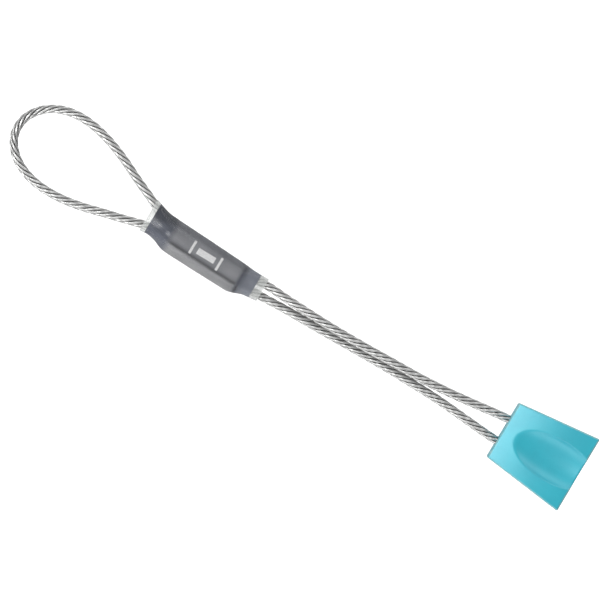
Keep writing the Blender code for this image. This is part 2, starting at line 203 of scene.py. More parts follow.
# ---------------------------------------------------------------- geometry helpers

def add_object(name, mesh, material):
    thing = bpy.data.objects.new(name, mesh)
    bpy.context.scene.collection.objects.link(thing)
    if material is not None:
        mesh.materials.append(material)
    return thing


def mesh_from_arrays(name, points, faces, sharp_angle=SHARP_ANGLE):
    mesh = bpy.data.meshes.new(name)
    mesh.from_pydata((np.asarray(points) * MM).tolist(), [], faces)
    mesh.validate()
    shape = bmesh.new()
    shape.from_mesh(mesh)
    bmesh.ops.recalc_face_normals(shape, faces=shape.faces)
    shape.to_mesh(mesh)
    shape.free()
    mesh.shade_smooth()
    mesh.set_sharp_from_angle(angle=math.radians(sharp_angle))
    return mesh


def ring_faces(rings, sides, first=0, loop=False):
    """Quads over `rings` rings of `sides` points each, numbered on from `first`, with closed
    ends unless the last ring joins the first."""
    faces = []
    pairs = [(r, r + 1) for r in range(rings - 1)]
    if loop:
        pairs.append((rings - 1, 0))
    for near, far in pairs:
        a, b = first + near * sides, first + far * sides
        for i in range(sides):
            j = (i + 1) % sides
            faces.append((a + i, a + j, b + j, b + i))
    if not loop:
        faces.append(tuple(range(first, first + sides)))
        last = first + (rings - 1) * sides
        faces.append(tuple(range(last, last + sides)))
    return faces


def add_point_attribute(mesh, name, values):
    attribute = mesh.attributes.new(name, 'FLOAT', 'POINT')
    attribute.data.foreach_set("value", np.asarray(values, dtype=np.float32))


def mesh_points(mesh):
    """A mesh's points, in millimetres."""
    co = np.zeros(len(mesh.vertices) * 3)
    mesh.vertices.foreach_get("co", co)
    return co.reshape(-1, 3) / MM


def apply_cuts(target, cutters):
    """Cuts the cutters out of the target for good, and removes them."""
    for cutter in cutters:
        cut = target.modifiers.new("cut", 'BOOLEAN')
        cut.operation = 'DIFFERENCE'
        cut.solver = 'EXACT'
        cut.object = cutter
    depsgraph = bpy.context.evaluated_depsgraph_get()
    mesh = bpy.data.meshes.new_from_object(target.evaluated_get(depsgraph))
    old = target.data
    target.modifiers.clear()
    target.data = mesh
    bpy.data.meshes.remove(old)
    mesh.name = target.name
    for cutter in cutters:
        bpy.data.objects.remove(cutter, do_unlink=True)
    mesh.shade_smooth()
    mesh.set_sharp_from_angle(angle=math.radians(SHARP_ANGLE))


def evenly_spaced(points, step):
    lengths = np.concatenate([[0.0], np.cumsum(np.linalg.norm(np.diff(points, axis=0), axis=1))])
    stations = np.linspace(0.0, lengths[-1], max(2, round(lengths[-1] / step) + 1))
    return np.stack([np.interp(stations, lengths, column) for column in points.T], axis=1)


def smooth_route(knots, step, samples=24):
    """Points `step` apart on a smooth curve through a route's own points."""
    knots = np.array(knots, dtype=float)
    gaps = np.linalg.norm(np.diff(knots, axis=0), axis=1)
    tangents = np.gradient(knots, np.concatenate([[0.0], np.cumsum(gaps)]), axis=0)
    u = np.linspace(0.0, 1.0, samples, endpoint=False)[:, None]
    pieces = [
        (2 * u**3 - 3 * u**2 + 1) * knots[i]
        + (u**3 - 2 * u**2 + u) * gap * tangents[i]
        + (3 * u**2 - 2 * u**3) * knots[i + 1]
        + (u**3 - u**2) * gap * tangents[i + 1]
        for i, gap in enumerate(gaps)
    ]
    return evenly_spaced(np.vstack(pieces + [knots[-1:]]), step)


# ---------------------------------------------------------------- wire rope

def crown_points():
    angles = math.pi * (0.5 - np.arange(1, CROWN_STEPS) / CROWN_STEPS)
    return [(CROWN_X + CROWN_RADIUS * math.cos(a), HEAD_CENTRE_Y + CROWN_RADIUS * math.sin(a),
             WIRE_HEIGHT_IN_HEAD) for a in angles]


class Rope:
    """The centre line of the one length of wire rope, with an untwisted frame along it."""

    def __init__(self):
        knots = (LEFT_LEG_ROUTE + crown_points() + RIGHT_LEG_ROUTE[::-1] + LOOP_ROUTE[::-1][1:])
        self.centre = smooth_route(knots, ROPE_STEP)
        steps = np.linalg.norm(np.diff(self.centre, axis=0), axis=1)
        self.place = np.concatenate([[0.0], np.cumsum(steps)])
        along = np.gradient(self.centre, axis=0)
        self.along = along / np.linalg.norm(along, axis=1)[:, None]
        across = np.array([0.0, 0.0, 1.0])
        self.across = np.empty_like(self.centre)
        for i, t in enumerate(self.along):
            across = across - t * (across @ t)
            across = across / np.linalg.norm(across)
            self.across[i] = across
        self.up = np.cross(self.along, self.across)

    def crossings(self, x):
        """The stations where the rope passes X, in its own order."""
        side = self.centre[:, 0] > x
        return [int(i) + 1 for i in np.nonzero(side[1:] != side[:-1])[0]]

    def round_bar(self, start, stop, radius, sides):
        turn = TURN * np.arange(sides) / sides
        offset = (np.cos(turn)[None, :, None] * self.across[start:stop, None]
                  + np.sin(turn)[None, :, None] * self.up[start:stop, None])
        return (self.centre[start:stop, None] + radius * offset).reshape(-1, 3)

    def strand(self, start, stop, number):
        """One outer strand's points, and each one's height over the rope's grooves, up to 1. The
        height paints shade into the grooves.
        """
        place = self.place[start:stop, None]
        turn = TURN * (number / STRANDS - place / ROPE_LAY)
        outward = np.cos(turn) * self.across[start:stop] + np.sin(turn) * self.up[start:stop]
        round_way = -np.sin(turn) * self.across[start:stop] + np.cos(turn) * self.up[start:stop]
        lean = math.atan(TURN * STRAND_CIRCLE / ROPE_LAY)
        sideways = math.cos(lean) * round_way + math.sin(lean) * self.along[start:stop]

        count = WIRES * WIRE_PROFILE_STEPS
        own = TURN * np.arange(count) / count
        wire = STRAND_RADIUS / 3.0
        off = (own + math.pi / WIRES) % (TURN / WIRES) - math.pi / WIRES
        half_chord = np.sqrt(np.maximum(wire**2 - (2 * wire * np.sin(off))**2, 0))
        reach = 2 * wire * np.cos(off) + half_chord
        reach = 3 * wire - WIRE_RELIEF * (3 * wire - reach)
        angle = own[None, :] + TURN * (place / WIRE_LAY + number * WIRE_START_STEP)
        centre = self.centre[start:stop] + STRAND_CIRCLE * outward
        points = (centre[:, None]
                  + (reach * np.cos(angle))[:, :, None] * outward[:, None]
                  + (reach * np.sin(angle))[:, :, None] * sideways[:, None])
        crest = (reach - reach.min()) / (reach.max() - reach.min())
        # Painted shade: the side of each strand turned towards the core gets a low height, and the
        # gaps between its wires a lower one, so both are painted dark.
        outness = np.clip(0.3 + 0.8 * np.cos(angle), 0.0, 1.0)
        height = outness * (1.0 - CREST_SHARE + CREST_SHARE * crest)
        return points.reshape(-1, 3), height.ravel()


def make_rope(name, rope, runs, material):
    """A piece of the wire rope: six fluted strands laid round a core, for each run."""
    points, height, faces, total = [], [], [], 0
    for start, stop in runs:
        rings = stop - start
        for number in range(STRANDS):
            strand, strand_height = rope.strand(start, stop, number)
            faces += ring_faces(rings, WIRES * WIRE_PROFILE_STEPS, total)
            total += len(strand)
            points.append(strand)
            height.append(strand_height)
        core = rope.round_bar(start, stop, CORE_RADIUS, CORE_SIDES)
        faces += ring_faces(rings, CORE_SIDES, total)
        total += len(core)
        points.append(core)
        height.append(np.zeros(len(core)))
    mesh = mesh_from_arrays(name, np.vstack(points), faces, ROPE_SHARP_ANGLE)
    add_point_attribute(mesh, "height_on_rope", np.concatenate(height))
    thing = add_object(name, mesh, material)
    return thing


def make_wire_pieces(material):
    rope = Rope()
    inside_leg_end = FERRULE_ENDS_X[1] - ROPE_END_DEPTH
    inside_loop_end = FERRULE_ENDS_X[0] + ROPE_END_DEPTH
    out, back = rope.crossings(inside_leg_end)
    cut_out, cut_back = rope.crossings(STEM_BEND_X[1])
    loop_start, loop_stop = rope.crossings(inside_loop_end)

    root = make_rope("wire_stem_root", rope, [(out, cut_out + 1), (cut_back, back)], material)
    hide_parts("wire_end_leg_side", "leg_left_bend_1", "leg_right_bend_1")
    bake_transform(root)

    stem = make_rope("wire_stem", rope, [(cut_out, cut_back + 1)], material)
    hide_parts("leg_left_bend_2", "leg_right_bend_2", "leg_left", "leg_right", "wire_crown")
    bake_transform(stem)

    loop = make_rope("wire_loop", rope, [(loop_start, loop_stop)], material)
    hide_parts("wire_end_loop_side", "wire_through_run", "loop_left_bend",
                "loop_right_bend", "clip_loop")
    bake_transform(loop)


# ---------------------------------------------------------------- head

def head_half_width(u):
    narrow, wide = HEAD_HALF_WIDTHS
    return narrow + (wide - narrow) * u


def head_front(u):
    narrow, wide = HEAD_THICKNESSES
    return narrow + (wide - narrow) * u + 4 * FRONT_BULGE * u * (1 - u)


def head_back(u):
    return 4 * BACK_HOLLOW * u * (1 - u)


def scoop_height(x, y):
    """The lower surface of the leaning ellipsoid that leaves the scoop. Beside it, a height
    over the head."""
    dx = x - SCOOP_CENTRE[0]
    dy = (y - SCOOP_CENTRE[1]) / SCOOP_SEMI_AXES[1]
    c, s = math.cos(SCOOP_TILT), math.sin(SCOOP_TILT)
    a, b = SCOOP_SEMI_AXES[0], SCOOP_SEMI_AXES[2]
    # (c dx + s dz)^2 / a^2 + dy^2 + (c dz - s dx)^2 / b^2 = 1, solved for the lower dz
    qa = s * s / a**2 + c * c / b**2
    qb = 2 * dx * s * c * (1 / a**2 - 1 / b**2)
    qc = dx * dx * (c * c / a**2 + s * s / b**2) + dy * dy - 1
    inside = qb * qb - 4 * qa * qc
    low = (-qb - np.sqrt(np.maximum(inside, 0.0))) / (2 * qa)
    return SCOOP_CENTRE[2] + np.where(inside > 0, low, SCOOP_SEMI_AXES[2])


def upper_face(x, y):
    """Height of the head's upper face with its scoop, and a soft lip where they meet."""
    u = (x - HEAD_NARROW_X) / HEAD_LENGTH
    plain = head_front(u) + 0 * y
    scoop = scoop_height(x, y)
    near = np.maximum(LIP_BLEND - np.abs(plain - scoop), 0.0) / LIP_BLEND
    return np.minimum(plain, scoop) - near**2 * LIP_BLEND / 4


def head_ring(x, inset, top_count):
    """One section of the head, drawn in by inset, with top_count points across its scoop."""
    u = (x - HEAD_NARROW_X) / HEAD_LENGTH
    half = head_half_width(u) - inset
    top = head_front(u) - inset
    bottom = head_back(u) + inset
    r = max(LEAST_EDGE * HEAD_EDGE_RADIUS, HEAD_EDGE_RADIUS - inset)
    ring = []

    def corner(y, z, start):
        for i in range(EDGE_STEPS + 1):
            angle = math.radians(start + 90.0 * i / EDGE_STEPS)
            ring.append((x, y + r * math.cos(angle), z + r * math.sin(angle)))

    corner(half - r, top - r, 0)
    across = np.linspace(half - r, -half + r, top_count + 2)[1:-1]
    heights = upper_face(np.full_like(across, x), across + HEAD_CENTRE_Y) - inset
    ring += [(x, y, z) for y, z in zip(across, heights)]
    corner(-half + r, top - r, 90)
    ring += [(x, -half, z) for z in np.linspace(top - r, bottom + r, SIDE_POINTS + 2)[1:-1]]
    corner(-half + r, bottom + r, 180)
    ring += [(x, y, bottom) for y in np.linspace(-half + r, half - r, BACK_POINTS + 2)[1:-1]]
    corner(half - r, bottom + r, 270)
    ring += [(x, half, z) for z in np.linspace(bottom + r, top - r, SIDE_POINTS + 2)[1:-1]]
    return [(px, py + HEAD_CENTRE_Y, pz) for px, py, pz in ring]


def head_blank(material):
    r = HEAD_EDGE_RADIUS
    start, end = HEAD_NARROW_X, HEAD_NARROW_X + HEAD_LENGTH
    angles = [math.pi / 2 * i / EDGE_STEPS for i in range(EDGE_STEPS)]
    roundings = [(r * (1 - math.cos(a)), r * (1 - math.sin(a))) for a in angles]
    top_count = int(2 * HEAD_HALF_WIDTHS[1] / HEAD_GRID)
    rings = [head_ring(start + along, inset, top_count) for along, inset in roundings]
    count = int((HEAD_LENGTH - 2 * r) / HEAD_GRID)
    rings += [head_ring(x, 0.0, top_count) for x in np.linspace(start + r, end - r, count)]
    rings += [head_ring(end - along, inset, top_count) for along, inset in reversed(roundings)]
    sides = len(rings[0])
    points = np.array(rings).reshape(-1, 3)
    mesh = mesh_from_arrays("chock", points, ring_faces(len(rings), sides))
    return add_object("chock", mesh, material)


def hole_cutter(hole_y, inwards):
    """One wire hole, drawn out towards the middle at its mouth, which has a rounded rim."""
    angles = [math.pi / 2 * i / HOLE_MOUTH_STEPS for i in range(HOLE_MOUTH_STEPS + 1)]
    mouth = [HOLE_MOUTH_RADIUS * (1 - math.cos(a)) for a in angles]
    flared = np.linspace(HOLE_MOUTH_RADIUS, HOLE_FLARE_LENGTH, HOLE_FLARE_STEPS + 1)[1:]
    depths = [-CUT_PAST] + mouth + list(flared) + [CROWN_X - HEAD_NARROW_X + CUT_PAST / 2]
    turn = TURN * np.arange(HOLE_SIDES) / HOLE_SIDES
    rings = []
    for depth in depths:
        flare = HOLE_FLARE * max(0.0, 1 - max(depth, 0.0) / HOLE_FLARE_LENGTH)
        left = max(0.0, 1 - max(depth, 0.0) / HOLE_MOUTH_RADIUS)
        rim = HOLE_MOUTH_RADIUS * HOLE_RIM_SHARE * (1 - math.sqrt(1 - left**2))
        y = hole_y + inwards * flare / 2 + (HOLE_RADIUS + rim + flare / 2) * np.cos(turn)
        z = WIRE_HEIGHT_IN_HEAD + (HOLE_RADIUS + rim) * np.sin(turn)
        rings.append(np.stack([np.full_like(y, HEAD_NARROW_X + depth), y, z], axis=1))
    mesh = mesh_from_arrays("hole_cutter", np.vstack(rings), ring_faces(len(rings), HOLE_SIDES))
    return add_object("hole_cutter", mesh, None)


def groove_cutter():
    end = HEAD_NARROW_X + HEAD_LENGTH + CUT_PAST
    outer = CROWN_RADIUS + HOLE_RADIUS
    outline = [(end, HEAD_CENTRE_Y - outer), (end, HEAD_CENTRE_Y + outer),
               (CROWN_X, HEAD_CENTRE_Y + outer), (CROWN_X, HEAD_CENTRE_Y + BRIDGE_RADIUS)]
    for i in range(1, CROWN_STEPS):
        angle = math.pi * (0.5 - i / CROWN_STEPS)
        outline.append((CROWN_X + BRIDGE_RADIUS * math.cos(angle),
                        HEAD_CENTRE_Y + BRIDGE_RADIUS * math.sin(angle)))
    outline += [(CROWN_X, HEAD_CENTRE_Y - BRIDGE_RADIUS), (CROWN_X, HEAD_CENTRE_Y - outer)]
    points = [(x, y, WIRE_HEIGHT_IN_HEAD + side * GROOVE_HALF_HEIGHT)
              for side in (-1, 1) for x, y in outline]
    mesh = mesh_from_arrays("groove_cutter", points, ring_faces(2, len(outline)))
    return add_object("groove_cutter", mesh, None)


def edge_wear(points):
    """How near each of the head's points is to an edge that rubs, from 0 to 1."""
    x, y, z = points.T
    u = (x - HEAD_NARROW_X) / HEAD_LENGTH
    reach = HEAD_EDGE_RADIUS * WEAR_REACH
    to_side = head_half_width(u) - np.abs(y - HEAD_CENTRE_Y)
    to_top = head_front(u) - z
    to_back = z - head_back(u)
    to_end = np.minimum(x - HEAD_NARROW_X, HEAD_NARROW_X + HEAD_LENGTH - x)
    gaps = np.sort(np.abs(np.stack([to_side, to_top, to_back, to_end])), axis=0)
    return np.clip(1.0 - gaps[1] / reach, 0.0, 1.0)


def make_head(material):
    head = head_blank(material)
    cutters = [hole_cutter(HEAD_CENTRE_Y + CROWN_RADIUS, -1),
               hole_cutter(HEAD_CENTRE_Y - CROWN_RADIUS, 1), groove_cutter()]
    apply_cuts(head, cutters)
    add_point_attribute(head.data, "edge_wear", edge_wear(mesh_points(head.data)))
    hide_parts("chock_head")
    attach(head, "head")


# ---------------------------------------------------------------- ferrule, film and sleeve

def ferrule_axis_y(x):
    return FERRULE_CENTRE[1] + FERRULE_LEAN * (x - FERRULE_CENTRE[0])


def round_ring(x, centre_y, radius, sides):
    turn = TURN * np.arange(sides) / sides
    return np.stack([np.full(sides, x), centre_y + radius * np.cos(turn),
                     FERRULE_CENTRE[2] + radius * np.sin(turn)], axis=1)


def ferrule_ring(x, radius):
    """One ring of the ferrule, with the two raised lines its press leaves along it."""
    turn = TURN * np.arange(FERRULE_SIDES) / FERRULE_SIDES
    off = (turn - FLASH_TURN + math.pi / 2) % math.pi - math.pi / 2
    radius = radius + FLASH_HEIGHT * np.exp(-(off / FLASH_SPREAD) ** 2)
    return np.stack([np.full(FERRULE_SIDES, x), ferrule_axis_y(x) + radius * np.cos(turn),
                     FERRULE_CENTRE[2] + radius * np.sin(turn)], axis=1)


def make_ferrule(material):
    start, end = FERRULE_ENDS_X
    fillet = FERRULE_END_RADIUS
    steps = [math.pi / 2 * i / FERRULE_END_STEPS for i in range(FERRULE_END_STEPS + 1)]
    insets = [(fillet * (1 - math.cos(a)), fillet * (1 - math.sin(a))) for a in steps]
    rings = [ferrule_ring(start + along, FERRULE_RADII[0] - inset) for along, inset in insets]
    for x in np.linspace(start + fillet, end - fillet, FERRULE_RINGS + 2)[1:-1]:
        u = (x - start) / (end - start)
        radius = FERRULE_RADII[0] + (FERRULE_RADII[1] - FERRULE_RADII[0]) * u
        rings.append(ferrule_ring(x, radius))
    rings += [ferrule_ring(end - along, FERRULE_RADII[1] - inset)
              for along, inset in reversed(insets)]
    mesh = mesh_from_arrays("ferrule", np.vstack(rings), ring_faces(len(rings), FERRULE_SIDES))
    ferrule = add_object("ferrule", mesh, material)
    cutters = []
    for offset in BORE_OFFSETS:
        bore = [round_ring(x, ferrule_axis_y(x) + offset, BORE_RADIUS, HOLE_SIDES)
                for x in (start - CUT_PAST, end + CUT_PAST)]
        bore_mesh = mesh_from_arrays("bore", np.vstack(bore), ring_faces(2, HOLE_SIDES))
        cutters.append(add_object("bore_cutter", bore_mesh, None))
    apply_cuts(ferrule, cutters)
    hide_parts("swage_ferrule")
    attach(ferrule, "swage")


def sleeve_section(x):
    """The sleeve's middle, half width, half height and squareness at X."""
    listed = np.array(SLEEVE_SECTIONS)
    near = x + np.linspace(-SLEEVE_SMOOTHING, SLEEVE_SMOOTHING, SECTION_SAMPLES)
    return [float(np.mean(np.interp(near, listed[:, 0], column))) for column in listed.T[1:]]


def wrinkle(x, turn):
    """How far the shrunk tube is drawn in at each place, in its folds and dents."""
    from_middle = np.abs(x - FERRULE_CENTRE[0])
    from_ferrule = np.clip((from_middle - CALM_HALF_LENGTH) / FOLD_RISE, 0.0, 1.0)
    folds = 0.5 + 0.5 * np.sin(5 * turn + 0.4 * x) * np.cos(3 * turn - 0.23 * x + 1.0)
    waves = 0.5 + 0.5 * np.sin(0.9 * x + 2 * turn) * np.sin(2 * turn + 0.5)
    return FOLD_DEPTH * from_ferrule * folds + WAVE_DEPTH * waves


def tube_ring(x, draw_in):
    middle, half_width, half_height, squareness = sleeve_section(x)
    turn = TURN * np.arange(TUBE_SIDES) / TUBE_SIDES
    c, s = np.cos(turn), np.sin(turn)
    inward = draw_in + wrinkle(x, turn)
    across = np.sign(c) * np.abs(c) ** (2 / squareness) * (half_width - inward)
    up = np.sign(s) * np.abs(s) ** (2 / squareness) * (half_height - inward)
    return np.stack([np.full(TUBE_SIDES, x), middle + across, FERRULE_CENTRE[2] + up], axis=1)


def make_tube(name, ends, draw_in, wall, material):
    stations = np.linspace(*ends, round((ends[1] - ends[0]) / TUBE_STEP) + 1)
    outside = [tube_ring(x, draw_in) for x in stations]
    inside = [tube_ring(x, draw_in + wall) for x in reversed(stations)]
    faces = ring_faces(2 * len(stations), TUBE_SIDES, loop=True)
    mesh = mesh_from_arrays(name, np.vstack(outside + inside), faces, TUBE_SHARP_ANGLE)
    return add_object(name, mesh, material)


def add_film_attributes(mesh):
    """Marks the painted light and shade round the film, a painted dark streak along it and painted
    shade just past the ferrule's leg end, where it lies over the ferrule, and where it is past the
    ferrule on the legs' side."""
    x, y, z = mesh_points(mesh).T
    turn = np.arctan2(z - FERRULE_CENTRE[2], y - ferrule_axis_y(x)) % TURN
    painted_light = np.interp(turn, *zip(*FILM_PAINTED_LIGHT))
    loop_end, leg_end = FERRULE_ENDS_X
    over_ferrule = (np.clip((x - loop_end) / FILM_FADE[0], 0.0, 1.0)
                    * np.clip((leg_end - x) / FILM_FADE[1], 0.0, 1.0))
    # Painted reflection: a dark streak along the film over the ferrule. Painted shade: a dark band
    # just past the ferrule's leg end.
    dark_streak = np.exp(-((turn - DARK_STREAK_TURN) / DARK_STREAK_SOFTNESS) ** 2) * over_ferrule
    end_shadow = (np.exp(-((x - leg_end - END_SHADOW[0]) / END_SHADOW[1]) ** 2)
                  * np.clip((turn - DARK_STREAK_TURN) / DARK_STREAK_SOFTNESS, 0.0, 1.0))
    add_point_attribute(mesh, "painted_light", painted_light)
    add_point_attribute(mesh, "over_ferrule", over_ferrule)
    add_point_attribute(mesh, "painted_dark_lines", np.maximum(dark_streak, end_shadow))
    add_point_attribute(mesh, "leg_end", np.clip((x - leg_end) / LEG_END_FADE, 0.0, 1.0))


def make_sleeves(film_material, clear_material):
    film = make_tube("printed_film", FILM_ENDS_X, FILM_INSET, FILM_WALL, film_material)
    add_film_attributes(film.data)
    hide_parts("label_film")
    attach(film, "swage")
    clear = make_tube("clear_tube", TUBE_ENDS_X, 0.0, TUBE_WALL, clear_material)
    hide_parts("heat_shrink_sleeve")
    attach(clear, "swage")


# ---------------------------------------------------------------- materials

class Nodes:
    """A material's node tree, with short ways to add and join nodes."""

    def __init__(self, name):
        self.material = bpy.data.materials.new(name)
        self.material.use_nodes = True
        self.tree = self.material.node_tree
        self.shader = self.tree.nodes["Principled BSDF"]
        self.output = self.tree.nodes["Material Output"]

    def add(self, kind, **settings):
        node = self.tree.nodes.new(kind)
        for key, value in settings.items():
            setattr(node, key, value)
        return node

    def join(self, source, target):
        self.tree.links.new(source, target)

    def feed(self, source, name):
        """Leads a socket into the shader's input of that name."""
        self.join(source, self.shader.inputs[name])

    def set(self, **values):
        for key, value in values.items():
            self.shader.inputs[key.replace("_", " ")].default_value = value

    def position(self):
        """The place on the object: X, Y and Z in metres."""
        place = self.add("ShaderNodeTexCoord")
        parts = self.add("ShaderNodeSeparateXYZ")
        self.join(place.outputs["Object"], parts.inputs["Vector"])
        return [parts.outputs[axis] for axis in "XYZ"]

    def noise(self, scale, detail=3.0, roughness=0.55, stretch=(1.0, 1.0, 1.0)):
        place = self.add("ShaderNodeTexCoord")
        mapping = self.add("ShaderNodeMapping")
        mapping.inputs["Scale"].default_value = stretch
        noise = self.add("ShaderNodeTexNoise")
        noise.inputs["Scale"].default_value = scale
        noise.inputs["Detail"].default_value = detail
        noise.inputs["Roughness"].default_value = roughness
        self.join(place.outputs["Object"], mapping.inputs["Vector"])
        self.join(mapping.outputs["Vector"], noise.inputs["Vector"])
        return noise.outputs["Fac"]

    def spread(self, value, low, high, to_low=0.0, to_high=1.0):
        """The range from low to high of a socket, spread over the range from to_low to to_high."""
        node = self.add("ShaderNodeMapRange")
        node.inputs["From Min"].default_value = low
        node.inputs["From Max"].default_value = high
        node.inputs["To Min"].default_value = to_low
        node.inputs["To Max"].default_value = to_high
        self.join(value, node.inputs["Value"])
        return node.outputs["Result"]

    def mix(self, share, first, second):
        """A colour between two, each a colour or a socket. The share is a socket, and 1 gives the
        second."""
        node = self.add("ShaderNodeMix", data_type='RGBA')
        for socket, value in ((node.inputs[6], first), (node.inputs[7], second)):
            if isinstance(value, tuple):
                socket.default_value = (*value, 1.0)
            else:
                self.join(value, socket)
        self.join(share, node.inputs[0])
        return node.outputs[2]

    def maths(self, operation, first, second):
        node = self.add("ShaderNodeMath", operation=operation)
        for socket, value in zip(node.inputs, (first, second)):
            if isinstance(value, (int, float)):
                socket.default_value = value
            else:
                self.join(value, socket)
        return node.outputs[0]

    def attribute(self, name):
        """One of the mesh's own values, which its making stored at each point."""
        return self.add("ShaderNodeAttribute", attribute_name=name).outputs["Fac"]

    def bump(self, height, distance, under=None):
        node = self.add("ShaderNodeBump")
        node.inputs["Strength"].default_value = 1.0
        node.inputs["Distance"].default_value = distance * MM
        self.join(height, node.inputs["Height"])
        if under is not None:
            self.join(under, node.inputs["Normal"])
        return node.outputs["Normal"]


def wire_material():
    n = Nodes("galvanised_wire_rope")
    # Painted shade: where height_on_rope is low, in the grooves between strands and wires, the
    # steel is darkened to nearly black.
    height = n.spread(n.attribute("height_on_rope"), 0.1, 0.85)
    patches = n.noise(260.0, 4.0)
    steel = n.mix(n.spread(patches, 0.35, 0.65), (0.63, 0.63, 0.625), (0.76, 0.76, 0.75))
    n.feed(n.mix(height, (0.13, 0.13, 0.13), steel), "Base Color")
    n.feed(n.spread(n.noise(900.0, 3.0), 0.3, 0.7, 0.36, 0.46), "Roughness")
    n.feed(n.bump(n.noise(4000.0, 2.0), 0.006), "Normal")
    n.set(Metallic=1.0)
    return n.material


def head_material():
    n = Nodes("turquoise_anodising")
    clouds = n.noise(90.0, 4.0)
    body = n.mix(n.spread(clouds, 0.3, 0.7), (0.006, 0.445, 0.57), (0.012, 0.51, 0.64))
    worn = n.spread(n.attribute("edge_wear"), 0.2, 0.75)
    broken = n.spread(n.noise(700.0, 4.0, 0.7), 0.38, 0.55, 0.3, 0.85)
    share = n.maths('MULTIPLY', worn, broken)
    n.feed(n.mix(share, body, (0.36, 0.58, 0.55)), "Base Color")
    n.feed(n.spread(n.noise(1300.0, 3.0), 0.3, 0.7, 0.38, 0.5), "Roughness")
    grain = n.bump(n.noise(4200.0, 2.0), 0.010)
    drag = n.bump(n.noise(1500.0, 2.0, 0.5, (0.12, 1.0, 1.0)), 0.008, under=grain)
    n.feed(drag, "Normal")
    n.set(Metallic=0.12, Specular_IOR_Level=0.1, Coat_Weight=1.0, Coat_Roughness=0.4, Coat_IOR=1.8)
    return n.material


def ferrule_material():
    n = Nodes("pressed_ferrule")
    patches = n.noise(300.0, 3.0)
    n.feed(n.mix(n.spread(patches, 0.3, 0.7), (0.62, 0.63, 0.65), (0.78, 0.79, 0.81)),
           "Base Color")
    n.feed(n.spread(n.noise(1200.0, 3.0), 0.3, 0.7, 0.42, 0.52), "Roughness")
    n.feed(n.bump(n.noise(500.0, 2.0), 0.01), "Normal")
    n.set(Metallic=1.0)
    return n.material


def bar_mask(n, x, y, middle, size):
    """1 inside a printed bar, given its middle and size along and across the sleeve."""
    inside = []
    for place, centre, length in zip((x, y), middle, size):
        away = n.maths('ABSOLUTE', n.maths('SUBTRACT', place, centre * MM), 0.0)
        inside.append(n.maths('LESS_THAN', away, length * MM / 2))
    return n.maths('MULTIPLY', *inside)


def film_material():
    """A dark see-through film, which hides more of what is under it the flatter it is seen."""
    n = Nodes("smoky_film")
    streaks = n.noise(220.0, 4.0, 0.6, (0.4, 1.0, 1.0))
    # Painted light and shade: the film is painted lighter on the sleeve's -Y side and darkest on
    # its +Y side, at the necks and over the ferrule alike.
    painted_light = n.attribute("painted_light")
    loop_neck = n.mix(painted_light, (0.044, 0.048, 0.062), (0.170, 0.184, 0.230))
    leg_neck = n.mix(painted_light, (0.290, 0.308, 0.362), (0.340, 0.360, 0.415))
    neck = n.mix(n.attribute("leg_end"), loop_neck, leg_neck)
    stretched = n.mix(painted_light, (0.150, 0.157, 0.182), (0.45, 0.452, 0.468))
    body = n.mix(n.attribute("over_ferrule"), neck, stretched)
    body = n.mix(n.spread(streaks, 0.3, 0.7, 0.32, 0.0), body, (0.055, 0.058, 0.072))
    # Painted reflection and shade: the dark streak along the film and the dark band past the
    # ferrule's leg end.
    body = n.mix(n.maths('MULTIPLY', n.attribute("painted_dark_lines"), 0.75), body, (0.030, 0.030, 0.036))
    x, y, z = n.position()
    printed = 0.0
    for middle, size in MARK_BARS:
        printed = n.maths('MAXIMUM', bar_mask(n, x, y, middle, size), printed)
    printed = n.maths('MULTIPLY', printed, n.maths('GREATER_THAN', z, FERRULE_CENTRE[2] * MM))
    patchy = n.spread(n.noise(1500.0, 3.0), 0.3, 0.5, 0.75, 0.95)
    printed = n.maths('MULTIPLY', printed, patchy)
    n.feed(n.mix(printed, body, (0.88, 0.88, 0.88)), "Base Color")
    n.feed(n.spread(n.noise(900.0, 3.0), 0.3, 0.7, 0.25, 0.4), "Roughness")
    n.feed(n.bump(n.noise(350.0, 2.0), 0.012), "Normal")
    facing = n.add("ShaderNodeLayerWeight")
    facing.inputs["Blend"].default_value = 0.5
    smoke = n.spread(facing.outputs["Facing"], 0.2, 0.8, 0.90, 0.98)
    n.feed(n.maths('MAXIMUM', smoke, printed), "Alpha")
    n.set(Specular_IOR_Level=0.08)
    return n.material


